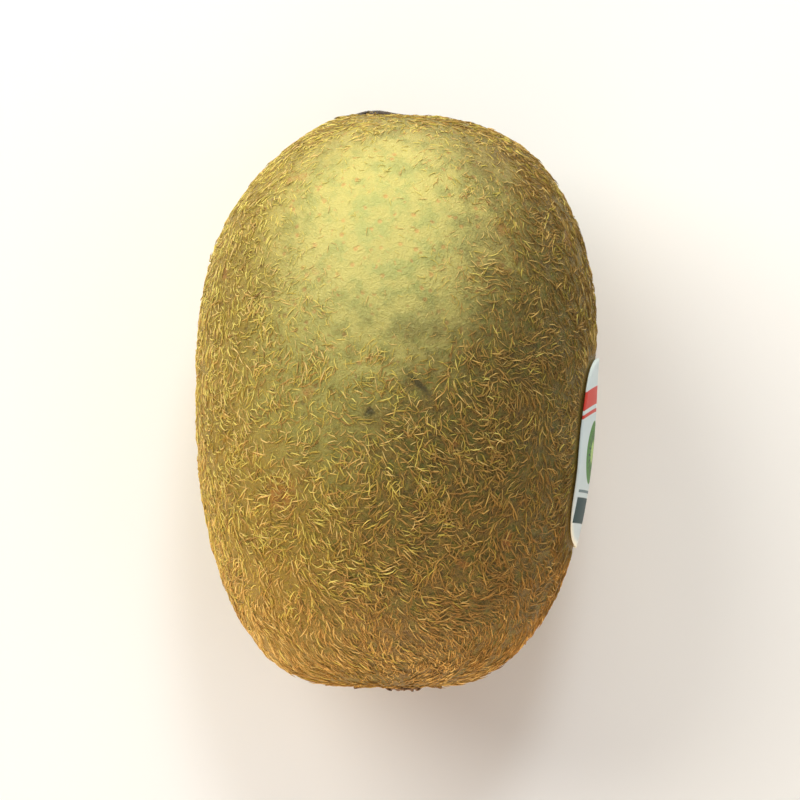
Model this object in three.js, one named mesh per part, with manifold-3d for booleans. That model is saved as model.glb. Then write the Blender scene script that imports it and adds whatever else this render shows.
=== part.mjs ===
import * as THREE from "three";
import { mergeVertices } from "three/addons/utils/BufferGeometryUtils.js";
import Module from "manifold-3d";

const wasm = await Module();
wasm.setup();

// Driving dimensions
// Millimetres, +Z up. The fruit lies on its side: stem end at -Y, blossom end at +Y, label on the +X side.
const LENGTH = 70;
const WIDTH = 48.4;
const DEPTH = 46.4;
const WIDEST_AT = 5.5; // the widest ring, from mid length towards the blossom end
const LEAN = 1; // drift of the mid-line towards +X at the blossom end
const BEND = 2.5; // how far the ends droop below the middle
const BEND_AT = 4; // where along the length the bend is highest
const SWELL = 0.006; // slow uneven swelling of the sides, as a share of the radius
const REST_FLAT = 0.45; // how deep the belly is pressed flat where the fruit lies

// Each end: powers of its rounded outline, sideways pull of its tip, and the radius over which it fades
const BLOSSOM = { along: 2.2, across: 2.56, pull: -3.6, pullRadius: 7.5 };
const STEM = { along: 2.66, across: 2.9, pull: 2.2, pullRadius: 7.2 };

// Flattened places on the -X side: a shoulder at the blossom end and a slight heel at the stem end
const FLATTENED = [
  { depth: 0.06, at: 0.95, reach: 0.25, spread: 0.8 },
  { depth: 0.036, at: -0.8, reach: 0.45, spread: 0.8 },
];

// Relief of the two ends
const BASIN = { depth: 1.3, radius: 6.2 };
const SCAR = { height: 0.9, radius: 2.4, edge: 0.35, dip: 0.35, dipRadius: 1.1 };
const SEPALS = { count: 5, length: 4.4, width: 3.4, thickness: 0.8, rootAt: 1.7, lift: 0.14 };
const HOLLOW = { depth: 0.15, at: 3.7, radius: 1.5 };
const BUTTON = { height: 0.4, radius: 1.8 };
const STYLES = { count: 20, length: 2.9, thickness: 0.75, rootAt: 0.9, lift: 0.6 };

// Label with round corners, wrapped round the skin with a slight turn
const LABEL = { y: -6.1, angle: 0.02, halfLength: 11.4, halfWidth: 9.6, turn: -0.05 };
const LABEL_THICKNESS = 0.4;
const LABEL_GAP = 0.3;
const LABEL_POWER = 3.4; // 2 is an ellipse, more is squarer

// Fineness of the faceted surfaces
const SKIN_SEGMENTS = 64;
const SKIN_RINGS = 58;
const POLE_CROWDING = 0.72; // how strongly the rings gather at the two ends
const LABEL_SEGMENTS = 36;
const LABEL_RINGS = 5;

const SKIN_MATERIAL = { color: 0x8c7a3a, roughness: 0.72, metalness: 0 };
const LABEL_MATERIAL = { color: 0xdfe8ea, roughness: 0.4, metalness: 0 };

// A rounded bump of height 1 at the given distance
function bump(distance, at, radius) {
  return Math.exp(-(((distance - at) / radius) ** 2));
}

function random(seed) {
  let state = seed;
  return () => {
    state = (state * 16807) % 2147483647;
    return state / 2147483647;
  };
}

function endOf(y) {
  const blossom = y >= WIDEST_AT;
  const side = blossom ? 1 : -1;
  return { ...(blossom ? BLOSSOM : STEM), blossom, side, reach: LENGTH / 2 - side * WIDEST_AT };
}

// Share of the widest radius at a place along the length
function radiusShare(y) {
  const end = endOf(y);
  const along = Math.min(1, Math.abs(y - WIDEST_AT) / end.reach);
  return (1 - along ** end.along) ** (1 / end.across);
}

function swelling(y, angle) {
  let sum = 0;
  for (let order = 2; order <= 5; order += 1) {
    sum += Math.cos(order * angle + order * order + ((order - 3) * y) / LENGTH) / order;
  }
  return 1 + SWELL * sum;
}

function flattening(y, angle) {
  const fromLeft = Math.PI - Math.abs(angle);
  const height = y / (LENGTH / 2);
  return FLATTENED.reduce((share, dent) => {
    return share - dent.depth * bump(height, dent.at, dent.reach) * bump(fromLeft, 0, dent.spread);
  }, 1);
}

// Shallow basin and raised stalk scar at the stem end, ringed hollow and button at the blossom end
function endRelief(radius, end) {
  if (end.blossom) {
    return BUTTON.height * bump(radius, 0, BUTTON.radius) - HOLLOW.depth * bump(radius, HOLLOW.at, HOLLOW.radius);
  }
  const rim = 1 / (1 + Math.exp((radius - SCAR.radius) / (SCAR.edge / 2)));
  const scar = SCAR.height * rim - SCAR.dip * bump(radius, 0, SCAR.dipRadius);
  return scar - BASIN.depth * bump(radius, 0, BASIN.radius);
}

// A point of the skin, from its place along the length, its share of the widest radius and its angle
function skinPoint(y, share, angle) {
  const end = endOf(y);
  const radius = (share * WIDTH) / 2;
  const swell = swelling(y, angle) * flattening(y, angle);
  const pull = end.pull * bump(radius, 0, end.pullRadius);
  const midX = (LEAN * y) / (LENGTH / 2) + pull;
  const midZ = -BEND * ((y - BEND_AT) / (LENGTH / 2)) ** 2;
  const x = midX + radius * swell * Math.cos(angle);
  const z = midZ + radius * (DEPTH / WIDTH) * swell * Math.sin(angle);
  return new THREE.Vector3(x, y + end.side * endRelief(radius, end), z);
}

function sidePoint(y, angle) {
  return skinPoint(y, radiusShare(y), angle);
}

function sideNormal(y, angle) {
  const along = sidePoint(y + 0.1, angle).sub(sidePoint(y - 0.1, angle));
  const round = sidePoint(y, angle + 0.01).sub(sidePoint(y, angle - 0.01));
  return along.cross(round).normalize();
}

// From a point of the unit ball to the skin, with its rings crowded towards the poles
function ballToSkin(point) {
  const level = Math.acos(THREE.MathUtils.clamp(point.y, -1, 1)) / Math.PI;
  const tilt = Math.PI * level - (POLE_CROWDING / 2) * Math.sin(2 * Math.PI * level);
  const end = endOf(Math.cos(tilt) >= 0 ? LENGTH : -LENGTH);
  const along = Math.abs(Math.cos(tilt)) ** (2 / end.along);
  const share = Math.max(0, Math.sin(tilt)) ** (2 / end.across);
  return skinPoint(WIDEST_AT + end.side * end.reach * along, share, Math.atan2(point.z, point.x));
}

function mapVertices(geometry, place) {
  geometry.deleteAttribute("normal");
  geometry.deleteAttribute("uv");
  const merged = mergeVertices(geometry, 1e-5);
  const position = merged.getAttribute("position");
  for (let i = 0; i < position.count; i += 1) {
    const placed = place(new THREE.Vector3().fromBufferAttribute(position, i));
    position.setXYZ(i, placed.x, placed.y, placed.z);
  }
  merged.computeVertexNormals();
  return merged;
}

function solidFrom(geometry) {
  const vertProperties = new Float32Array(geometry.getAttribute("position").array);
  const triVerts = new Uint32Array(geometry.index.array);
  return new wasm.Manifold(new wasm.Mesh({ numProp: 3, vertProperties, triVerts }));
}

function geometryFrom(solid) {
  const mesh = solid.getMesh();
  const geometry = new THREE.BufferGeometry();
  geometry.setAttribute("position", new THREE.BufferAttribute(new Float32Array(mesh.vertProperties), 3));
  geometry.setIndex(new THREE.BufferAttribute(new Uint32Array(mesh.triVerts), 1));
  return geometry;
}

// A tapering shred that grows outwards from an end's axis, from its root to its tip
function shred(root, tip, width, thickness, sides) {
  const outwards = tip.clone().sub(root);
  const geometry = new THREE.ConeGeometry(0.5, outwards.length(), sides);
  geometry.scale(width, 1, thickness);
  outwards.normalize();
  const across = new THREE.Vector3(0, 1, 0).cross(outwards).normalize();
  const facing = new THREE.Matrix4().makeBasis(across, outwards, across.clone().cross(outwards));
  const middle = root.clone().add(tip).multiplyScalar(0.5);
  return solidFrom(mapVertices(geometry, (point) => point.applyMatrix4(facing).add(middle)));
}

// The point of an end's surface at a given distance from its axis
function endPoint(side, distance, angle) {
  const end = endOf(side * LENGTH);
  const share = (2 * distance) / WIDTH;
  const along = (1 - share ** end.across) ** (1 / end.along);
  return skinPoint(WIDEST_AT + side * end.reach * along, share, angle);
}

function sepals() {
  const draw = random(11);
  return Array.from({ length: SEPALS.count }, (_, i) => {
    const angle = ((i + 0.5 * draw()) / SEPALS.count) * 2 * Math.PI;
    const length = SEPALS.length * (0.75 + 0.25 * draw());
    const root = endPoint(-1, SEPALS.rootAt, angle);
    const tip = endPoint(-1, SEPALS.rootAt + length, angle);
    root.y += SEPALS.thickness;
    tip.y -= SEPALS.lift * length;
    return shred(root, tip, SEPALS.width, SEPALS.thickness, 6);
  });
}

function driedStyles() {
  const draw = random(5);
  return Array.from({ length: STYLES.count }, (_, i) => {
    const angle = ((i + 0.6 * draw()) / STYLES.count) * 2 * Math.PI;
    const length = STYLES.length * (0.7 + 0.3 * draw());
    const root = endPoint(1, STYLES.rootAt, angle);
    const tip = endPoint(1, STYLES.rootAt + length, angle);
    root.y -= STYLES.thickness / 2;
    tip.y += STYLES.lift * (0.4 + 0.6 * draw());
    return shred(root, tip, STYLES.thickness, STYLES.thickness, 3);
  });
}

// The whole fruit, lowered until its belly is pressed flat at z = 0
function fruitGeometry() {
  const body = mapVertices(new THREE.SphereGeometry(1, SKIN_SEGMENTS, SKIN_RINGS), ballToSkin);
  body.computeBoundingBox();
  const sink = body.boundingBox.min.z + REST_FLAT;
  const whole = [...sepals(), ...driedStyles()].reduce((sum, piece) => sum.add(piece), solidFrom(body));
  const geometry = mapVertices(geometryFrom(whole), (point) => {
    return new THREE.Vector3(point.x, point.y, Math.max(0, point.z - sink));
  });
  return { geometry, sink };
}

// A flat round-cornered plate bent onto the skin: height 0 is its back and 1 its face
function labelGeometry(sink) {
  const outline = [new THREE.Vector2(0, 0)];
  for (let i = 1; i <= LABEL_RINGS; i += 1) outline.push(new THREE.Vector2(i / LABEL_RINGS, 0));
  for (let i = LABEL_RINGS; i >= 1; i -= 1) outline.push(new THREE.Vector2(i / LABEL_RINGS, 1));
  outline.push(new THREE.Vector2(0, 1));
  return mapVertices(new THREE.LatheGeometry(outline, LABEL_SEGMENTS), (point) => {
    const round = Math.atan2(-point.z, point.x);
    const squared = Math.abs(Math.cos(round)) ** LABEL_POWER + Math.abs(Math.sin(round)) ** LABEL_POWER;
    const spread = Math.hypot(point.x, point.z) * squared ** (-1 / LABEL_POWER);
    const flat = new THREE.Vector2(
      spread * LABEL.halfLength * Math.cos(round),
      spread * LABEL.halfWidth * Math.sin(round),
    ).rotateAround(new THREE.Vector2(), LABEL.turn);
    const y = LABEL.y + flat.x;
    const angle = LABEL.angle + flat.y / (WIDTH / 2);
    const height = LABEL_GAP + point.y * LABEL_THICKNESS;
    const placed = sidePoint(y, angle).addScaledVector(sideNormal(y, angle), height);
    return placed.setZ(placed.z - sink);
  });
}

const group = new THREE.Group();
const fruit = fruitGeometry();

const fruitMesh = new THREE.Mesh(fruit.geometry, new THREE.MeshStandardMaterial(SKIN_MATERIAL));
fruitMesh.name = "kiwi_fruit";
group.add(fruitMesh);

const labelMesh = new THREE.Mesh(labelGeometry(fruit.sink), new THREE.MeshStandardMaterial(LABEL_MATERIAL));
labelMesh.name = "fruit_label";
group.add(labelMesh);

// The origin is on the resting surface, under the middle of the whole
const middle = new THREE.Box3().setFromObject(group).getCenter(new THREE.Vector3());
group.position.set(-middle.x, -middle.y, 0);

export default group;
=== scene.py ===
# Kiwi fruit lying on its side: uneven skin, curly hairs, dried sepals and styles, and a round-cornered label
import math
import random

import bmesh
import bpy
from mathutils import Matrix, Vector, noise


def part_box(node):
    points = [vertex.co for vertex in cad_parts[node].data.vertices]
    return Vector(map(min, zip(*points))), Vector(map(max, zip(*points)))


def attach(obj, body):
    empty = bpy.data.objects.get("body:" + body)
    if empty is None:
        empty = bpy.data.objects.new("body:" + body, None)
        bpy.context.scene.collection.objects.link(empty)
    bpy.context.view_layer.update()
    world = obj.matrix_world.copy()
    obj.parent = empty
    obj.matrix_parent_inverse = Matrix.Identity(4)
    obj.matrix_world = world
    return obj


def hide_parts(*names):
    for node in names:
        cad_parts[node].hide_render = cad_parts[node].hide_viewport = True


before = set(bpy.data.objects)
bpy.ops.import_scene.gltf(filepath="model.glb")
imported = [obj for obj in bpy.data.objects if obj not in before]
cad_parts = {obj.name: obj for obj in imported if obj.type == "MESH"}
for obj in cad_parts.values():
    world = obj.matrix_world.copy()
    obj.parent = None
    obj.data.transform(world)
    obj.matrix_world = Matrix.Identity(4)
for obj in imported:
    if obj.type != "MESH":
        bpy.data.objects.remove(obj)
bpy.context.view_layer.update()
mm = 0.001

# The camera looks straight down: the picture's right is +X and its up is +Y
camera = {
    "height": 0.6,
    "lens": 214,
    "above": (0.00015, 0.0),
    "clip": (0.05, 10),
}
floor = {"halfSize": 1.5, "color": (0.93, 0.93, 0.92), "roughness": 0.6}

# Lights: place and size in metres, power in watts, each turned to the fruit's middle
lightAim = Vector((0, 0, 0.02))
lights = {
    "keyLight": {"place": (-0.72, 0.60, 0.62), "size": 0.9, "power": 10.4, "color": (1.0, 0.98, 0.90)},
    "topLight": {"place": (0.05, 0.90, 0.24), "size": 0.5, "power": 4.9, "color": (1.0, 0.9, 0.66)},
    "fillLight": {"place": (0.70, -0.10, 0.60), "size": 0.9, "power": 0.9, "color": (1.0, 0.96, 0.92)},
    "windowLight": {"place": (0.10, 0.62, 0.78), "size": 0.22, "power": 2.2, "color": (0.86, 0.94, 1.0)},
    "warmLight": {"place": (-0.12, -0.85, 0.06), "size": 0.4, "power": 12.0, "color": (1.0, 0.64, 0.34)},
}
world = {"color": (0.97, 0.98, 1.0), "strength": 0.35}

# The fruit's own shape, in millimetres, before it is set on the frame
fruit = {
    "length": 70.0,
    "width": 48.4,
    "depth": 46.4,
    "widestAt": 5.5,  # the widest ring, from mid length towards the blossom end
    "lean": 1.0,  # drift of the mid-line towards +X at the blossom end
    "bend": 2.5,  # how far the ends droop below the middle
    "bendAt": 4.0,
    "swell": 0.006,  # slow uneven swelling of the sides, as a share of the radius
    "restFlat": 0.45,  # how deep the belly is pressed flat
    "crowding": 0.72,  # how strongly the rings gather at the two ends
    "segments": 260,
    "rings": 200,
    "grain": 0.05,  # height of the fine unevenness
    "grainScale": 0.45,
    "grainRadius": 24.0,  # where the grain has just that height
}

# Each end: powers of its rounded outline, sideways pull of its tip, and the radius over which it fades
blossomEnd = {"along": 2.2, "across": 2.56, "pull": -3.6, "pullRadius": 7.5}
stemEnd = {"along": 2.66, "across": 2.9, "pull": 2.2, "pullRadius": 7.2}

# A flattened shoulder and heel on the left side, and the relief of the two ends
flattened = [
    {"depth": 0.06, "at": 0.95, "reach": 0.25, "spread": 0.8},
    {"depth": 0.036, "at": -0.8, "reach": 0.45, "spread": 0.8},
]
basin = {"depth": 1.3, "radius": 6.2}
scar = {"height": 0.9, "radius": 2.4, "edge": 0.35, "dip": 0.35, "dipRadius": 1.1}
hollow = {"depth": 0.15, "at": 3.7, "radius": 1.5}
button = {"height": 0.4, "radius": 1.8}


def bump(distance, at, radius):
    return math.exp(-(((distance - at) / radius) ** 2))


def smooth(low, high, value):
    share = min(1.0, max(0.0, (value - low) / (high - low)))
    return share * share * (3 - 2 * share)


def sideOf(y):
    return 1 if y >= fruit["widestAt"] else -1


def endFor(side):
    return blossomEnd if side > 0 else stemEnd


def reachOf(side):
    return fruit["length"] / 2 - side * fruit["widestAt"]


def radiusShare(y):
    side = sideOf(y)
    end = endFor(side)
    along = min(1.0, abs(y - fruit["widestAt"]) / reachOf(side))
    return (1 - along ** end["along"]) ** (1 / end["across"])


def swelling(y, angle):
    waves = [math.cos(n * angle + n * n + (n - 3) * y / fruit["length"]) / n for n in range(2, 6)]
    return 1 + fruit["swell"] * sum(waves)


def flattening(y, angle):
    height = y / (fruit["length"] / 2)
    fromLeft = math.pi - abs(angle)
    dents = 0
    for dent in flattened:
        dents += dent["depth"] * bump(height, dent["at"], dent["reach"]) * bump(fromLeft, 0, dent["spread"])
    return 1 - dents


def endRelief(radius, side):
    if side > 0:
        ring = hollow["depth"] * bump(radius, hollow["at"], hollow["radius"])
        return button["height"] * bump(radius, 0, button["radius"]) - ring
    rim = 1 / (1 + math.exp(min(60, (radius - scar["radius"]) / (scar["edge"] / 2))))
    pad = scar["height"] * rim - scar["dip"] * bump(radius, 0, scar["dipRadius"])
    return pad - basin["depth"] * bump(radius, 0, basin["radius"])


def midLine(y, radius):
    end = endFor(sideOf(y))
    midX = fruit["lean"] * y / (fruit["length"] / 2) + end["pull"] * bump(radius, 0, end["pullRadius"])
    midZ = -fruit["bend"] * ((y - fruit["bendAt"]) / (fruit["length"] / 2)) ** 2
    return midX, midZ


# A point of the skin, from its place along the length, its share of the widest radius and its angle
def skinPoint(y, share, angle):
    side = sideOf(y)
    radius = share * fruit["width"] / 2
    wide = radius * swelling(y, angle) * flattening(y, angle)
    midX, midZ = midLine(y, radius)
    z = midZ + wide * fruit["depth"] / fruit["width"] * math.sin(angle)
    return Vector((midX + wide * math.cos(angle), y + side * endRelief(radius, side), z))


def sidePoint(y, angle):
    return skinPoint(y, radiusShare(y), angle)


def sideNormal(y, angle):
    along = sidePoint(y + 0.1, angle) - sidePoint(y - 0.1, angle)
    return along.cross(sidePoint(y, angle + 0.01) - sidePoint(y, angle - 0.01)).normalized()


# The point of an end's surface at a distance from that end's axis
def endPoint(side, distance, angle):
    end = endFor(side)
    share = 2 * distance / fruit["width"]
    along = (1 - share ** end["across"]) ** (1 / end["along"])
    return skinPoint(fruit["widestAt"] + side * reachOf(side) * along, share, angle)


# From a point of the unit ball to the skin, with its rings crowded towards the poles
def ballToSkin(point):
    level = math.acos(max(-1.0, min(1.0, point.y))) / math.pi
    tilt = math.pi * level - fruit["crowding"] / 2 * math.sin(2 * math.pi * level)
    side = 1 if math.cos(tilt) >= 0 else -1
    end = endFor(side)
    along = abs(math.cos(tilt)) ** (2 / end["along"])
    share = max(0.0, math.sin(tilt)) ** (2 / end["across"])
    y = fruit["widestAt"] + side * reachOf(side) * along
    placed = skinPoint(y, share, math.atan2(point.z, point.x))
    grain = noise.fractal(placed * fruit["grainScale"], 0.8, 2.1, 3) * min(1.0, share * 4)
    return placed * (1 + fruit["grain"] * grain / fruit["grainRadius"])


class Wire:  # a number or colour socket, so that shader maths reads as plain expressions
    def __init__(self, shader, socket):
        self.shader = shader
        self.socket = socket

    def math(self, operation, first, second=None):
        values = {0: first} if second is None else {0: first, 1: second}
        return self.shader.node("Math", {"operation": operation}, values)

    def __add__(self, other):
        return self.math("ADD", self, other)

    def __sub__(self, other):
        return self.math("SUBTRACT", self, other)

    def __rsub__(self, other):
        return self.math("SUBTRACT", other, self)

    def __mul__(self, other):
        return self.math("MULTIPLY", self, other)

    __radd__ = __add__
    __rmul__ = __mul__

    def __pow__(self, other):
        return self.math("POWER", self, other)

    def atLeast(self, other):
        return self.math("MAXIMUM", self, other)

    def size(self):
        return self.math("ABSOLUTE", self)

    def ramp(self, low, high):  # 0 at low, 1 at high, eased at both
        sockets = {"Value": self, "From Min": low, "From Max": high}
        return self.shader.node("MapRange", {"interpolation_type": "SMOOTHSTEP"}, sockets)


class Shader:
    def __init__(self, name):
        self.material = bpy.data.materials.new(name)
        self.material.use_nodes = True
        self.nodes = self.material.node_tree.nodes
        self.links = self.material.node_tree.links
        self.nodes.clear()

    # One node: its settings first, then the values or links of its sockets
    def node(self, kind, settings, sockets, output=0):
        made = self.nodes.new("ShaderNode" + kind)
        for key, value in settings.items():
            if key == "stops":
                self.setStops(made.color_ramp, value)
            else:
                setattr(made, key, value)
        for key, value in sockets.items():
            if isinstance(value, Wire):
                self.links.new(value.socket, made.inputs[key])
            else:
                made.inputs[key].default_value = value
        return Wire(self, made.outputs[output])

    def setStops(self, ramp, stops):
        for index, (place, color) in enumerate(stops):
            stop = ramp.elements[index] if index < 2 else ramp.elements.new(place)
            stop.position = place
            stop.color = color

    def mix(self, share, first, second):
        return self.node("Mix", {"data_type": "RGBA"}, {0: share, 6: first, 7: second}, 2)

    def vector(self, operation, first, second):
        key = 3 if operation == "SCALE" else 1
        return self.node("VectorMath", {"operation": operation}, {0: first, key: second})

    def length(self, vector):
        return self.node("VectorMath", {"operation": "LENGTH"}, {0: vector}, "Value")

    def axis(self, vector, name):
        return self.node("SeparateXYZ", {}, {"Vector": vector}, name)

    def cosine(self, angle):
        return self.node("Math", {"operation": "COSINE"}, {0: angle})

    def place(self):  # where the point is, in millimetres
        return self.vector("SCALE", self.node("TexCoord", {}, {}, "Object"), 1 / mm)

    def speckle(self, place, scale, detail=3.0, roughness=0.55):
        sockets = {"Vector": place, "Scale": scale, "Detail": detail, "Roughness": roughness}
        return self.node("TexNoise", {}, sockets)

    # A soft round or oval area: 1 inside it, fading to 0 at its rim
    def area(self, place, at, radii, fade, wobble=0.0):
        offset = self.vector("DIVIDE", self.vector("SUBTRACT", place, at), radii)
        return (self.length(offset) + wobble).ramp(1 + fade / 2, 1 - fade / 2)

    def finish(self, color, roughness, extras, height=None, depth=0.0):
        sockets = {"Base Color": color, "Roughness": roughness, **extras}
        if height is not None:
            bumpSockets = {"Height": height, "Distance": depth, "Strength": 1.0}
            sockets["Normal"] = self.node("Bump", {}, bumpSockets)
        surface = self.node("BsdfPrincipled", {}, sockets)
        output = self.nodes.new("ShaderNodeOutputMaterial")
        self.links.new(surface.socket, output.inputs["Surface"])
        return self.material


def paint(red, green, blue):  # a colour as seen on a screen, 0 to 255
    values = [c / 255 for c in (red, green, blue)]
    return tuple(c / 12.92 if c < 0.04045 else ((c + 0.055) / 1.055) ** 2.4 for c in values) + (1.0,)


def makeCamera():
    data = bpy.data.cameras.new("camera")
    data.lens = camera["lens"]
    data.clip_start, data.clip_end = camera["clip"]
    made = bpy.data.objects.new("camera", data)
    made.location = (*camera["above"], camera["height"])
    bpy.context.scene.collection.objects.link(made)
    bpy.context.scene.camera = made


def makeFloor():
    bm = bmesh.new()
    bmesh.ops.create_grid(bm, x_segments=1, y_segments=1, size=floor["halfSize"])
    mesh = bpy.data.meshes.new("floor")
    bm.to_mesh(mesh)
    bm.free()
    made = bpy.data.objects.new("floor", mesh)
    bpy.context.scene.collection.objects.link(made)
    shader = Shader("paleFloor")
    grain = shader.speckle(shader.place(), 0.02)
    color = shader.mix(grain, (*floor["color"], 1), tuple(0.99 * c for c in floor["color"]) + (1,))
    mesh.materials.append(shader.finish(color, floor["roughness"], {}))


def makeLights():
    for name, light in lights.items():
        data = bpy.data.lights.new(name, "AREA")
        data.shape = "DISK"
        data.size = light["size"]
        data.energy = light["power"]
        data.color = light["color"]
        made = bpy.data.objects.new(name, data)
        made.location = light["place"]
        made.rotation_euler = (lightAim - made.location).to_track_quat("-Z", "Y").to_euler()
        bpy.context.scene.collection.objects.link(made)
    sky = bpy.data.worlds.new("studio")
    sky.use_nodes = True
    background = sky.node_tree.nodes["Background"]
    background.inputs["Color"].default_value = (*world["color"], 1)
    background.inputs["Strength"].default_value = world["strength"]
    bpy.context.scene.world = sky
    bpy.context.scene.view_settings.view_transform = "Standard"


# The pale, rubbed side of the fruit, a mossy patch beside it, a rusty spot, and two dark scratches
rubbed = {"at": (-2.0, 20.0, 40.0), "radii": (12.5, 15.5, 13.5)}
mossy = {"at": (-9.0, 2.5, 40.0), "radii": (8.5, 10.5, 13.0)}
rustSpot = {"at": (-13.7, -10.9, 40.0), "radii": (1.7, 1.9, 6.0)}
scratches = [
    {"at": (2.3, 1.9), "angle": -0.75, "length": 1.9, "width": 0.38},
    {"at": (-3.4, -1.4), "angle": 0.3, "length": 0.6, "width": 0.5},
]
skinFinish = {
    "deep": paint(60, 48, 14),
    "olive": paint(98, 84, 28),
    "green": paint(84, 92, 30),
    "brown": paint(92, 64, 24),
    "litGolden": paint(162, 136, 40),
    "matted": paint(142, 118, 54),
    "mossy": paint(158, 156, 82),
    "pale": paint(200, 190, 108),
    "paleGreen": paint(180, 182, 104),
    "speck": paint(200, 142, 78),
    "darkSpeck": paint(84, 62, 26),
    "rust": paint(176, 104, 52),
    "scratch": paint(66, 60, 28),
    "wood": paint(104, 76, 46),
    "darkWood": paint(48, 34, 22),
    "roughness": 0.5,
    "paleRoughness": 0.36,
    "bumpDepth": 0.00014,
    "sheen": paint(236, 196, 96),
}

# Scale of each noise in the skin, per millimetre
skinNoise = {
    "broad": 0.09,
    "mottle": 0.42,
    "fine": 2.6,
    "pores": 7.0,
    "patches": 0.8,
    "tufts": 1.4,
    "threads": (1.1, 1.9),
    "specks": 0.8,
    "speckAreas": 0.9,
    "rust": 0.22,
    "ragged": 2.0,
}

# How far each colour covers what lies under it
skinCover = {
    "green": 0.75,
    "brown": 0.8,
    "matted": 0.45,
    "mossy": 0.6,
    "pale": 0.88,
    "speck": 0.6,
    "rust": 0.45,
    "scratch": 0.9,
}


# Fine crossing threads, as of matted fuzz: the edges of small warped cells
def matted(shader, place, scale):
    drift = shader.node("TexNoise", {}, {"Vector": place, "Scale": scale * 1.3, "Detail": 2.0}, "Color")
    warped = shader.vector("ADD", place, shader.vector("SCALE", drift, 1.6 / scale))
    cell = {"Vector": warped, "Scale": scale}
    edge = shader.node("TexVoronoi", {"feature": "DISTANCE_TO_EDGE"}, cell, "Distance")
    return edge.ramp(0.16, 0.02)


def skinMaterial(shift):
    shader = Shader("kiwiSkin")
    look = skinFinish
    cover = skinCover
    scale = skinNoise
    place = shader.place()
    broad = shader.speckle(place, scale["broad"], 2.0)
    mottle = shader.speckle(place, scale["mottle"], 4.0, 0.6)
    fine = shader.speckle(place, scale["fine"], 4.0, 0.7)
    pores = shader.speckle(place, scale["pores"], 2.0)
    patches = shader.speckle(place, scale["patches"], 5.0, 0.65).ramp(0.48, 0.58)
    coarser, finer = scale["threads"]
    threads = matted(shader, place, coarser).atLeast(matted(shader, place, finer) * 0.7)

    color = shader.mix(fine.ramp(0.35, 0.65), look["deep"], look["olive"])
    color = shader.mix(patches * cover["green"], color, look["green"])
    browned = (broad * 0.6 + mottle * 0.4).ramp(0.47, 0.62)
    color = shader.mix(browned * cover["brown"], color, look["brown"])
    # Painted light: the skin turns golden and lighter towards the left, the side the lamps light most
    litLeftSide = shader.axis(place, "X").ramp(2.0, -20.0)
    color = shader.mix(litLeftSide * (0.6 + 0.4 * fine) * (1 - 0.3 * patches), color, look["litGolden"])
    tufts = shader.speckle(place, scale["tufts"], 5.0, 0.7).ramp(0.52, 0.62)
    color = shader.mix(threads.atLeast(tufts) * cover["matted"], color, look["matted"])

    wobble = (mottle - 0.5) * 0.9 + (fine - 0.5) * 0.5
    green = shader.area(place, mossy["at"], mossy["radii"], 1.2, wobble * 1.4)
    color = shader.mix(green * cover["mossy"], color, look["mossy"])
    pale = shader.area(place, rubbed["at"], rubbed["radii"], 1.3, wobble)
    paleColor = shader.mix(mottle.ramp(0.42, 0.62), look["pale"], look["paleGreen"])
    color = shader.mix(pale * cover["pale"], color, paleColor)

    cells = shader.node("TexVoronoi", {}, {"Vector": place, "Scale": scale["specks"]}, "Distance")
    chosen = shader.speckle(place, scale["speckAreas"], 1.0).ramp(0.42, 0.52)
    speck = cells.ramp(0.34, 0.12) * chosen
    color = shader.mix(speck * cover["speck"], color, shader.mix(pale, look["darkSpeck"], look["speck"]))
    rust = shader.speckle(place, scale["rust"], 1.0).ramp(0.71, 0.78) * fine.ramp(0.3, 0.6)
    rust = rust.atLeast(shader.area(place, rustSpot["at"], rustSpot["radii"], 1.2, wobble))
    color = shader.mix(rust * cover["rust"], color, look["rust"])

    for mark in scratches:
        color = shader.mix(scratchMask(shader, place, mark), color, look["scratch"])

    stemPole = shift + endPoint(-1, 0.0, 0.0)
    blossomPole = shift + endPoint(1, 0.0, 0.0)
    wood = shader.mix(fine, look["wood"], look["darkWood"])
    atScar = shader.area(place, stemPole, (3.0, 3.0, 3.0), 0.3, (mottle - 0.5) * 0.4)
    atButton = shader.area(place, blossomPole, (2.6, 2.6, 2.6), 0.6, (mottle - 0.5) * 0.6)
    color = shader.mix(atScar.atLeast(atButton), color, wood)

    roughness = (fine - 0.5) * 0.25 + look["roughness"] - pale * (look["roughness"] - look["paleRoughness"])
    height = fine * 0.6 + pores * 0.25 + mottle * 0.8 + threads * (0.6 - 0.35 * pale) - speck * 0.3
    extras = {
        "Specular IOR Level": 0.45,
        "IOR": 1.42,
        "Sheen Weight": 0.2,
        "Sheen Roughness": 0.45,
        "Sheen Tint": look["sheen"],
    }
    return shader.finish(color, roughness, extras, height, look["bumpDepth"])


# One scratch: a ragged oval on the upper side alone
def scratchMask(shader, place, mark):
    sockets = {
        "Vector": place,
        "Location": (*mark["at"], 0.0),
        "Rotation": (0.0, 0.0, mark["angle"]),
        "Scale": (mark["length"], mark["width"], 100.0),
    }
    turned = shader.node("Mapping", {"vector_type": "TEXTURE"}, sockets)
    ragged = (shader.speckle(place, skinNoise["ragged"], 3.0) - 0.5) * 1.8
    upper = shader.axis(place, "Z").ramp(24.0, 28.0)
    return (shader.length(turned) + ragged).ramp(1.4, 0.6) * upper * skinCover["scratch"]


# Pieces are modelled in the fruit's own millimetres, then set on the frame and pressed flat at the floor
def setPiece(bm, name, material, shift):
    for vert in bm.verts:
        vert.co = (vert.co + shift) * mm
        vert.co.z = max(0.0, vert.co.z)
    mesh = bpy.data.meshes.new(name)
    bm.to_mesh(mesh)
    bm.free()
    mesh.materials.append(material)
    mesh.shade_smooth()
    piece = bpy.data.objects.new(name, mesh)
    bpy.context.scene.collection.objects.link(piece)
    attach(piece, "root")
    return piece


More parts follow.
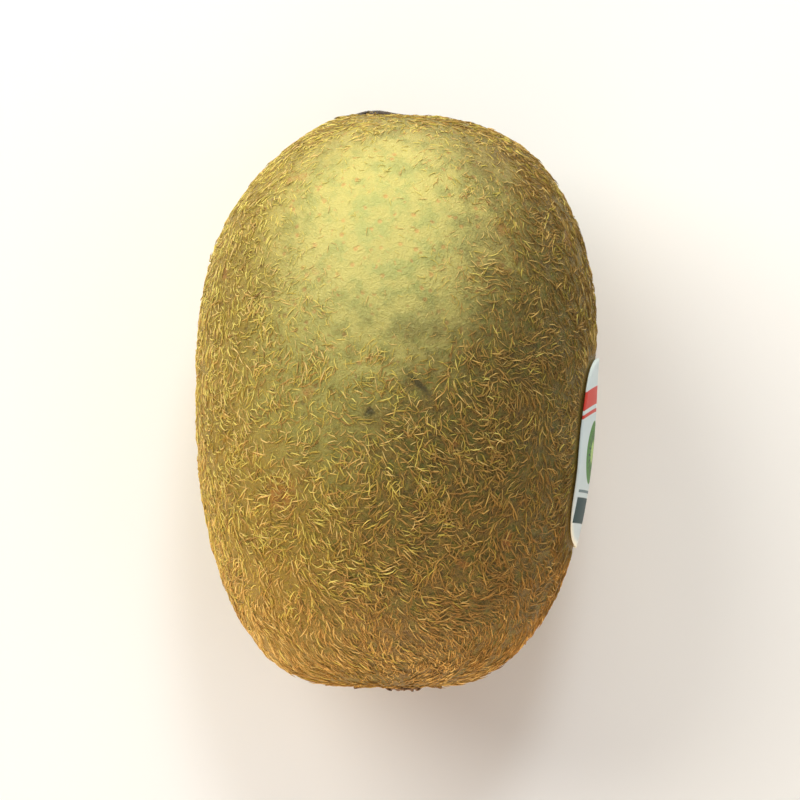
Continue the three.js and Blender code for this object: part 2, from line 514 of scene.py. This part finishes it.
# A grid rolled into a ball: the sphere operator orders its faces anew each run, and the hairs would move
def skinMesh():
    bm = bmesh.new()
    bm.loops.layers.uv.new("OFBake")
    segments, rings = fruit["segments"], fruit["rings"]
    bmesh.ops.create_grid(bm, x_segments=segments, y_segments=rings, size=1, calc_uvs=True)
    for vert in bm.verts:
        around = -math.pi * vert.co.x
        tilt = math.pi / 2 * (1 - vert.co.y)
        ring = math.sin(tilt)
        vert.co = (ring * math.cos(around), math.cos(tilt), ring * math.sin(around))
    bmesh.ops.remove_doubles(bm, verts=bm.verts, dist=0.0001)
    for vert in bm.verts:
        vert.co = ballToSkin(vert.co)
    bm.normal_update()
    return bm


# The fruit's place in the frame: its left side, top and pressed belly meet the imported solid's
def frameShift(bm):
    cadLow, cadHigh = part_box("kiwi_fruit")
    left = min(v.co.x for v in bm.verts)
    top = max(v.co.y for v in bm.verts)
    belly = min(v.co.z for v in bm.verts)
    return Vector((cadLow.x / mm - left, cadHigh.y / mm - top, -belly - fruit["restFlat"]))


# Label with round corners, wrapped round the skin on the right side
label = {
    "y": -6.1,
    "angle": 0.02,  # round the fruit from its right side
    "halfLength": 11.4,
    "halfWidth": 9.6,
    "turn": -0.05,
    "power": 3.4,  # 2 is an ellipse, more is squarer
    "segments": 96,
    "rings": 14,
    "gap": 0.22,  # how far the film is held off the skin
    "pucker": 0.07,  # how far the rim lifts off in places
    "thickness": 0.16,
    "ground": paint(220, 233, 234),
    "groundShade": paint(198, 212, 214),
    "green": paint(70, 132, 40),
    "paleGreen": paint(190, 216, 132),
    "seed": paint(30, 36, 24),
    "red": paint(216, 66, 52),
    "teal": paint(22, 62, 64),
    "grey": paint(112, 134, 138),
}


# The label's print, on its flat map, which runs from -1 to 1 both ways
labelPrint = {
    "stripe": {"at": 0.62, "half": 0.095},
    "line": {"at": 0.46, "half": 0.02},
    "bow": 0.12,  # how far the stripes bend over the label's width
    "slice": {"y": 0.3, "radius": 0.335, "seeds": 18, "seedsAt": 0.19},
    "block": {"at": -0.62, "half": 0.135, "middle": 0.1, "reach": 0.745},
    "bars": {"at": -0.42, "pitch": 90},
    "edge": 0.005,  # half the width of a printed shape's soft edge
}


# How far a point is from the label's middle, 1 at its rim
def labelDistance(point):
    midX, midZ = midLine(point.y, fruit["width"] / 2)
    angle = math.atan2((point.z - midZ) * fruit["width"] / fruit["depth"], point.x - midX)
    flat = Vector((point.y - label["y"], (angle - label["angle"]) * fruit["width"] / 2))
    flat.rotate(Matrix.Rotation(-label["turn"], 2))
    p = label["power"]
    return (abs(flat.x / label["halfLength"]) ** p + abs(flat.y / label["halfWidth"]) ** p) ** (1 / p)


def wrapLabel(flat, height):
    rim = max(abs(flat.x), abs(flat.y)) ** 6
    height += label["pucker"] * rim * (1 + math.sin(math.atan2(flat.y, flat.x) * 7 + 1.0))
    turned = Vector((flat.x * label["halfLength"], flat.y * label["halfWidth"]))
    turned.rotate(Matrix.Rotation(label["turn"], 2))
    y = label["y"] + turned.x
    angle = label["angle"] + turned.y / (fruit["width"] / 2)
    return sidePoint(y, angle) + sideNormal(y, angle) * height


# Printed shapes: a round slice of fruit between a red stripe and a teal block with grey bars
def labelMaterial():
    shader = Shader("labelFilm")
    uv = shader.node("UVMap", {"uv_map": "OFBake"}, {})
    x = shader.axis(uv, "X") * 2 - 1
    y = shader.axis(uv, "Y") * 2 - 1
    grain = shader.speckle(shader.place(), 1.4)
    color = shader.mix(grain * 0.3, label["ground"], label["groundShade"])

    def inside(distance, half):
        return distance.ramp(half + labelPrint["edge"], half - labelPrint["edge"])

    for name in ("stripe", "line"):
        band = labelPrint[name]
        fromBand = (x - band["at"] + y * y * labelPrint["bow"]).size()
        color = shader.mix(inside(fromBand, band["half"]), color, label["red"])

    fruitSlice = labelPrint["slice"]
    sliceY = (y - fruitSlice["y"]) * (label["halfWidth"] / label["halfLength"])
    fromMiddle = (x * x + sliceY * sliceY) ** 0.5
    around = shader.node("Math", {"operation": "ARCTAN2"}, {0: sliceY, 1: x})
    rays = shader.cosine(around * fruitSlice["seeds"])
    color = shader.mix(inside(fromMiddle, fruitSlice["radius"]), color, label["green"])
    color = shader.mix(fromMiddle.ramp(0.13 + 0.02 * rays, 0.10), color, label["paleGreen"])
    seeds = (fromMiddle - fruitSlice["seedsAt"]).size().ramp(0.05, 0.03) * rays.ramp(0.3, 0.7)
    color = shader.mix(seeds, color, label["seed"])

    block = labelPrint["block"]
    upright = inside((y - block["middle"]).size(), block["reach"])
    color = shader.mix(inside((x - block["at"]).size(), block["half"]) * upright, color, label["teal"])
    bars = labelPrint["bars"]
    barred = shader.cosine(x * bars["pitch"]).ramp(0.1, 0.4) * (x - bars["at"]).size().ramp(0.04, 0.035)
    color = shader.mix(barred * upright, color, label["grey"])
    return shader.finish(color, 0.5, {"Specular IOR Level": 0.28})


def makeLabel(shift):
    bm = bmesh.new()
    bmesh.ops.create_circle(bm, cap_ends=True, segments=label["segments"], radius=1)
    for _ in range(label["rings"] - 1):
        inner = [max(bm.faces, key=lambda face: len(face.verts))]
        bmesh.ops.inset_region(bm, faces=inner, thickness=1 / label["rings"], use_boundary=True)
    bmesh.ops.poke(bm, faces=[max(bm.faces, key=lambda face: len(face.verts))])
    uvLayer = bm.loops.layers.uv.new("OFBake")
    for vert in bm.verts:
        flat = vert.co.xy
        around = math.atan2(flat.y, flat.x)
        squared = abs(math.cos(around)) ** label["power"] + abs(math.sin(around)) ** label["power"]
        vert.co.xy = flat * squared ** (-1 / label["power"])
    for face in bm.faces:
        for loop in face.loops:
            loop[uvLayer].uv = loop.vert.co.xy * 0.5 + Vector((0.5, 0.5))
    for vert in bm.verts:
        vert.co = wrapLabel(vert.co.xy, label["gap"])
    bmesh.ops.recalc_face_normals(bm, faces=bm.faces)
    middle = max(bm.faces, key=lambda face: face.calc_center_median().x)
    if middle.normal.x < 0:
        bmesh.ops.reverse_faces(bm, faces=bm.faces)
    bmesh.ops.solidify(bm, geom=list(bm.faces), thickness=-label["thickness"])
    piece = setPiece(bm, "fruitLabel", labelMaterial(), shift)
    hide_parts("fruit_label")


# Curly hairs: some bent strands are modelled in each tone, then repeated all over the skin
hair = {
    "seed": 7,
    "count": 56000,
    "pieces": 4,
    "shapes": 20,
    "steps": 3,
    "length": (1.0, 2.6),  # shortest and longest
    "width": 0.088,
    "rise": (0.2, 0.5),  # how steeply a hair leaves the skin
    "sink": 0.06,  # how deep its root sits
    "swirl": 0.14,  # how fast the lay of the hairs turns from place to place
}
fuzz = {
    "seed": 23,
    "count": 28000,
    "pieces": 2,
    "shapes": 8,
    "steps": 2,
    "length": (0.4, 1.0),
    "width": 0.07,
    "rise": (0.3, 0.6),
    "sink": 0.04,
    "swirl": 0.3,
}

# How far a strand turns, curls and droops, in radians, and the share of its width left after each step
strandShape = {"turn": 2.2, "curl": 1.5, "droop": 0.12, "taper": 0.82}

# Where the skin is bare: distances from the middle of the scar and of the button, from the floor,
# and from the label's middle as a share of its own size
bare = {"scar": 3.4, "button": 1.8, "floor": 0.3, "label": 1.02}

# The share of the hairs that is lost in each place
hairLoss = {"scratch": 0.9, "rubbed": 0.92, "mossy": 0.2}

# Four tan tones from dark to light, then four straw ones
hairTones = [
    paint(146, 112, 58),
    paint(176, 140, 74),
    paint(204, 170, 96),
    paint(224, 196, 122),
    paint(146, 122, 52),
    paint(176, 154, 66),
    paint(202, 184, 86),
    paint(224, 208, 112),
]
hairFinish = {"rootShade": (0.62, 0.58, 0.48, 1), "roughness": 0.6, "sheen": paint(240, 200, 100)}


def hairMaterial():
    shader = Shader("hairStrands")
    uv = shader.node("UVMap", {"uv_map": "OFBake"}, {})
    along = shader.axis(uv, "Y")
    stops = [((i + 0.5) / len(hairTones), color) for i, color in enumerate(hairTones)]
    color = shader.node("ValToRGB", {"stops": stops}, {"Fac": shader.axis(uv, "X")})
    shaded = {0: 1.0, 6: color, 7: hairFinish["rootShade"]}
    darker = shader.node("Mix", {"data_type": "RGBA", "blend_type": "MULTIPLY"}, shaded, 2)
    color = shader.mix(along.ramp(0.0, 0.4), darker, color)
    extras = {"Specular IOR Level": 0.3, "Sheen Weight": 0.3, "Sheen Tint": hairFinish["sheen"]}
    return shader.finish(color, hairFinish["roughness"], extras)


# One strand along +X, rooted at the origin, that rises from the skin, bends over and curls
def strandMesh(kind, tone, draw):
    bm = bmesh.new()
    uvLayer = bm.loops.layers.uv.new("OFBake")
    rim = bmesh.ops.create_circle(bm, segments=3, radius=kind["width"] / 2)["verts"]
    bmesh.ops.rotate(bm, verts=rim, cent=(0, 0, 0), matrix=Matrix.Rotation(math.pi / 2, 3, "Y"))
    edges = list(bm.edges)
    turn = draw.uniform(-strandShape["turn"], strandShape["turn"])
    curl = draw.uniform(-strandShape["curl"], strandShape["curl"])
    rise = draw.uniform(*kind["rise"])
    at = Vector((0, 0, -kind["sink"]))
    bmesh.ops.translate(bm, verts=rim, vec=at)
    step = 1 / kind["steps"]
    along = {vert: 0.0 for vert in rim}
    for number in range(kind["steps"]):
        share = (number + 0.5) * step
        sideways = turn * (share - 0.5) + curl * math.sin(2 * math.pi * share) / 2
        upwards = rise * (1 - share) ** 1.6 - strandShape["droop"] * share
        stride = Vector((math.cos(upwards), 0, math.sin(upwards))) * step
        stride.rotate(Matrix.Rotation(sideways, 3, "Z"))
        made = bmesh.ops.extrude_edge_only(bm, edges=edges)["geom"]
        rim = [part for part in made if isinstance(part, bmesh.types.BMVert)]
        edges = [part for part in made if isinstance(part, bmesh.types.BMEdge)]
        edges = [edge for edge in edges if all(vert in rim for vert in edge.verts)]
        bmesh.ops.translate(bm, verts=rim, vec=stride)
        at = at + stride
        bmesh.ops.scale(bm, verts=rim, vec=(strandShape["taper"],) * 3, space=Matrix.Translation(-at))
        along.update({vert: (number + 1) * step for vert in rim})
    bmesh.ops.pointmerge(bm, verts=rim, merge_co=at)
    bmesh.ops.recalc_face_normals(bm, faces=bm.faces)
    for face in bm.faces:
        for corner, loop in enumerate(face.loops):
            across = (tone + 0.3 + 0.2 * (corner % 3)) / len(hairTones)
            loop[uvLayer].uv = (across, along.get(loop.vert, 1.0))
    mesh = bpy.data.meshes.new("strand")
    bm.to_mesh(mesh)
    bm.free()
    return mesh


# How far a point is from a scratch or a coloured area, 1 at its rim
def scratchDistance(placed, mark):
    across = Vector((placed.x - mark["at"][0], placed.y - mark["at"][1]))
    across.rotate(Matrix.Rotation(-mark["angle"], 2))
    return math.hypot(across.x / mark["length"], across.y / mark["width"])


def areaDistance(placed, area):
    return Vector([(placed[i] - area["at"][i]) / area["radii"][i] for i in range(3)]).length


# How much of the hair is left at a point, 0 to 1
def hairShare(point, shift):
    placed = point + shift
    if placed.z > 30 and any(scratchDistance(placed, mark) < 2.0 for mark in scratches):
        return 1 - hairLoss["scratch"]
    wear = smooth(1.5, 0.5, areaDistance(placed, rubbed) + 0.5 * noise.noise(placed * 0.16))
    thin = smooth(1.3, 0.6, areaDistance(placed, mossy))
    patchy = 0.8 + 0.5 * noise.noise(placed * 0.4)
    return patchy * (1 - hairLoss["rubbed"] * wear) * (1 - hairLoss["mossy"] * thin)


# Golden hairs towards the left, lighter there as painted light, and darker to the right and low as painted
# shade; browner to the right, tan at the stem end, lightest where rubbed
def toneAt(point, draw, shift):
    tan = 0.4 + 0.5 * smooth(-12, -32, point.y) + 0.4 * smooth(-4, 16, point.x)
    # Painted shade: darker hairs on the right below the top and in a band towards the stem end; the
    # left-hand term below is painted light
    shade = 0.2 * smooth(2, 16, point.x) * smooth(28, 14, point.y)
    shade += 0.12 * smooth(-4, -14, point.y) * smooth(-34, -24, point.y)
    worn = smooth(1.3, 0.8, areaDistance(point + shift, rubbed))
    light = 0.48 + 0.2 * smooth(8, -20, point.x) - shade + 0.5 * worn + draw.gauss(0, 0.26)
    step = min(3, max(0, int(light * 4)))
    return step if draw.random() < tan else 4 + step


# Root, outward direction and lay of one hair, or nothing where the skin is bare
def hairPlace(face, draw, shift, swirl):
    corners = [vert.co for vert in face.verts]
    across = draw.random()
    near = corners[0].lerp(corners[1], across)
    far = corners[-1].lerp(corners[2], across) if len(corners) == 4 else corners[-1]
    root = near.lerp(far, draw.random())
    outwards = face.normal
    if draw.random() > hairShare(root, shift) or root.z + shift.z < bare["floor"]:
        return None
    toScar = (root - endPoint(-1, 0.0, 0.0)).length
    toButton = (root - endPoint(1, 0.0, 0.0)).length
    toLabel = labelDistance(root) if root.x > 10 else math.inf
    if toScar < bare["scar"] or toButton < bare["button"] or toLabel < bare["label"]:
        return None
    lay = Vector((0.25, -1, -0.1)) if abs(outwards.y) < 0.8 else root - Vector((0, root.y, 0))
    lay = (lay - outwards * lay.dot(outwards)).normalized()
    spin = noise.noise(root * swirl + Vector((9, 4, 2))) * 3.4 + draw.gauss(0, 0.6)
    spin += noise.noise(root * swirl * 4) * 1.5
    calm = 1 - 0.6 * smooth(-16, -30, root.y)  # the hairs lie more evenly towards the stem end
    lay.rotate(Matrix.Rotation(spin * calm, 3, outwards))
    if toLabel < 1.25:  # hairs at the label's rim point away from it
        away = root - sidePoint(label["y"], label["angle"])
        away = (away - outwards * away.dot(outwards)).normalized()
        lay = (lay + 2.5 * away).normalized()
    return root, outwards, lay


def makeHairs(skin, kind, name, material, shift):
    draw = random.Random(kind["seed"])
    shapes = range(kind["shapes"])
    strands = [[strandMesh(kind, tone, draw) for _ in shapes] for tone in range(len(hairTones))]
    faces = list(skin.faces)
    areas = [face.calc_area() for face in faces]
    chosen = draw.choices(faces, weights=areas, k=kind["count"])
    bms = [bmesh.new() for _ in range(kind["pieces"])]
    for face in chosen:
        found = hairPlace(face, draw, shift, kind["swirl"])
        if found is None:
            continue
        root, outwards, lay = found
        strand = draw.choice(strands[toneAt(root, draw, shift)])
        length = draw.uniform(*kind["length"]) * (0.55 + 0.45 * hairShare(root, shift))
        turned = Matrix((lay, outwards.cross(lay), outwards)).transposed()
        placed = Matrix.Translation(root) @ (turned @ Matrix.Diagonal((length, length, length))).to_4x4()
        sector = int((math.atan2(root.z, root.x) / (2 * math.pi) + 0.5) * kind["pieces"]) % kind["pieces"]
        strand.transform(placed)
        bms[sector].from_mesh(strand)
        strand.transform(placed.inverted())
    for number, bm in enumerate(bms):
        piece = setPiece(bm, name + str(number + 1), material, shift)
        print(piece.name, sum(len(face.vertices) - 2 for face in piece.data.polygons), "triangles")


# Dried sepals round the stalk scar and dried styles round the button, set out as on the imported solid
sepals = {
    "seed": 11,
    "count": 5,
    "length": 4.4,
    "width": 3.0,
    "thickness": 0.14,
    "rootAt": 1.7,
    "lift": 0.03,
    "root": 0.16,  # height of the blade over the skin at its root
    "curl": 0.4,  # how far the tip turns up
    "cup": 0.34,
    "ragged": 0.9,
    "creases": 0.07,
    "steps": (18, 16),
    "color": paint(112, 84, 54),
    "edge": paint(62, 44, 30),
    "light": paint(158, 130, 90),
}
styles = {
    "seed": 5,
    "count": 20,
    "extra": 26,
    "length": 2.9,
    "width": 0.34,
    "rootAt": 0.9,
    "lift": 0.1,
    "sweep": 0.7,  # how much longer those are that lie towards the left
    "steps": 8,
    "curl": 1.1,
    "color": paint(58, 42, 30),
    "dark": paint(34, 26, 20),
    "light": paint(128, 98, 64),
}
stalkScar = {
    "radius": 2.1,
    "segments": 40,
    "rings": 8,
    "rough": 0.16,
    "rim": 0.18,
    "color": paint(138, 108, 70),
    "dark": paint(66, 48, 32),
    "light": paint(178, 148, 104),
}


# Random shares from a fixed rule, so that the ends look the same each run
def steadyDraw(seed):
    state = seed
    while True:
        state = state * 16807 % 2147483647
        yield state / 2147483647


def driedMaterial(name, dark, mid, light):
    shader = Shader(name)
    place = shader.place()
    grain = shader.speckle(place, 1.6, 5.0, 0.7)
    streaks = shader.node("TexNoise", {}, {"Vector": place, "Scale": 5.0, "Detail": 3.0, "Distortion": 1.2})
    color = shader.mix(grain.ramp(0.3, 0.55), dark, mid)
    color = shader.mix((grain * 0.5 + streaks * 0.5).ramp(0.52, 0.72), color, light)
    extras = {"Specular IOR Level": 0.3, "Sheen Weight": 0.2}
    return shader.finish(color, 0.75, extras, streaks + grain * 0.5, 0.00012)


def makeSepals(shift):
    draw = steadyDraw(sepals["seed"])
    whole = bmesh.new()
    for number in range(sepals["count"]):
        middle = (number + 0.5 * next(draw)) / sepals["count"] * 2 * math.pi
        length = sepals["length"] * (0.75 + 0.25 * next(draw))
        bm = bmesh.new()
        across, down = sepals["steps"]
        bmesh.ops.create_grid(bm, x_segments=across, y_segments=down, size=1)
        for vert in bm.verts:
            share = (vert.co.x + 1) / 2
            side = vert.co.y
            rough = noise.noise(Vector((share * 5, side * 2.5, number * 7.3)))
            half = sepals["width"] / 2 * (1 - 0.96 * share ** 2.2) ** 0.8 * (0.72 + 0.5 * share)
            half *= 1 + sepals["ragged"] * rough * abs(side)
            distance = sepals["rootAt"] + length * share
            onSkin = endPoint(-1, distance, middle + side * half / (distance + 0.6))
            height = sepals["root"] + sepals["lift"] * length * share
            height += sepals["curl"] * max(0.0, share - 0.6) ** 1.5
            height += sepals["cup"] * side * side + 0.1 * rough
            height += sepals["creases"] * math.sin(side * 11 + 2 * rough + number)
            vert.co = onSkin - Vector((0, height, 0))
        back = bmesh.ops.extrude_face_region(bm, geom=list(bm.faces))["geom"]
        back = [part for part in back if isinstance(part, bmesh.types.BMVert)]
        bmesh.ops.translate(bm, verts=back, vec=(0, sepals["thickness"], 0))
        bmesh.ops.recalc_face_normals(bm, faces=bm.faces)
        mesh = bpy.data.meshes.new("sepal")
        bm.to_mesh(mesh)
        bm.free()
        whole.from_mesh(mesh)
    finish = driedMaterial("driedSepal", sepals["edge"], sepals["color"], sepals["light"])
    setPiece(whole, "driedSepals", finish, shift)


def makeStyles(shift):
    draw = steadyDraw(styles["seed"])
    bm = bmesh.new()
    for number in range(styles["count"] + styles["extra"]):
        inner = number >= styles["count"]
        middle = (number + 0.6 * next(draw)) / styles["count"] * 2 * math.pi
        length = styles["length"] * (0.7 + 0.3 * next(draw)) * (1.6 if inner else 1)
        lift = styles["lift"] * (0.4 + 0.6 * next(draw))
        length *= 1 + styles["sweep"] * max(0.0, -math.cos(middle))
        start = styles["rootAt"] * (next(draw) if inner else 1)
        bend = (next(draw) - 0.5) * 2 * styles["curl"]
        rim = bmesh.ops.create_circle(bm, segments=5, radius=styles["width"] / 2)["verts"]
        edges = list(dict.fromkeys(edge for vert in rim for edge in vert.link_edges))
        facing = Vector((math.cos(middle), 0.25, math.sin(middle))).to_track_quat("Z", "Y").to_matrix()
        at = endPoint(1, start, middle) - Vector((0, 0.25, 0))
        bmesh.ops.transform(bm, verts=rim, matrix=Matrix.Translation(at) @ facing.to_4x4())
        for step in range(1, styles["steps"] + 1):
            share = step / styles["steps"]
            made = bmesh.ops.extrude_edge_only(bm, edges=edges)["geom"]
            rim = [part for part in made if isinstance(part, bmesh.types.BMVert)]
            edges = [part for part in made if isinstance(part, bmesh.types.BMEdge)]
            edges = [edge for edge in edges if all(vert in rim for vert in edge.verts)]
            angle = middle + bend * share * share / (0.4 + share)
            height = lift * math.sin(share * math.pi * 0.8) + 0.1
            goal = endPoint(1, start + length * share * (1 - 0.15 * share), angle) + Vector((0, height, 0))
            bmesh.ops.translate(bm, verts=rim, vec=goal - at)
            at = goal
            bmesh.ops.scale(bm, verts=rim, vec=(0.88,) * 3, space=Matrix.Translation(-at))
        bmesh.ops.contextual_create(bm, geom=edges)
    bmesh.ops.recalc_face_normals(bm, faces=bm.faces)
    finish = driedMaterial("driedStyle", styles["dark"], styles["color"], styles["light"])
    setPiece(bm, "driedStyles", finish, shift)


# The broken end of the stalk: a rough woody disc in the middle of the scar
def makeStalkScar(shift):
    bm = bmesh.new()
    radius = stalkScar["radius"]
    bmesh.ops.create_circle(bm, cap_ends=True, segments=stalkScar["segments"], radius=radius)
    for _ in range(stalkScar["rings"] - 1):
        inner = [max(bm.faces, key=lambda face: len(face.verts))]
        bmesh.ops.inset_region(bm, faces=inner, thickness=radius / stalkScar["rings"], use_boundary=True)
    bmesh.ops.poke(bm, faces=[max(bm.faces, key=lambda face: len(face.verts))])
    for vert in bm.verts:
        distance = vert.co.xy.length
        angle = math.atan2(vert.co.y, vert.co.x)
        rough = noise.noise(Vector((vert.co.x * 1.6, vert.co.y * 1.6, 3.0)))
        height = stalkScar["rim"] * bump(distance, radius * 0.82, 0.35) + stalkScar["rough"] * rough
        edge = 1 + 0.06 * noise.noise(Vector((math.cos(angle) * 2, math.sin(angle) * 2, 8.0)))
        vert.co = endPoint(-1, distance * edge, angle) - Vector((0, 0.12 + height, 0))
    bmesh.ops.recalc_face_normals(bm, faces=bm.faces)
    if sum(face.normal.y for face in bm.faces) > 0:
        bmesh.ops.reverse_faces(bm, faces=bm.faces)
    bmesh.ops.solidify(bm, geom=list(bm.faces), thickness=0.3)
    finish = driedMaterial("stalkWood", stalkScar["dark"], stalkScar["color"], stalkScar["light"])
    setPiece(bm, "stalkScar", finish, shift)


makeCamera()
makeFloor()
makeLights()
print("stage done")

skin = skinMesh()
shift = frameShift(skin)
hairs = hairMaterial()
makeHairs(skin, hair, "hair", hairs, shift)
makeHairs(skin, fuzz, "fuzz", hairs, shift)
skinPiece = setPiece(skin, "kiwiSkin", skinMaterial(shift), shift)
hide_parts("kiwi_fruit")
print("skin and hairs done")

makeSepals(shift)
makeStalkScar(shift)
makeStyles(shift)
makeLabel(shift)
print("sepals, styles and label done")
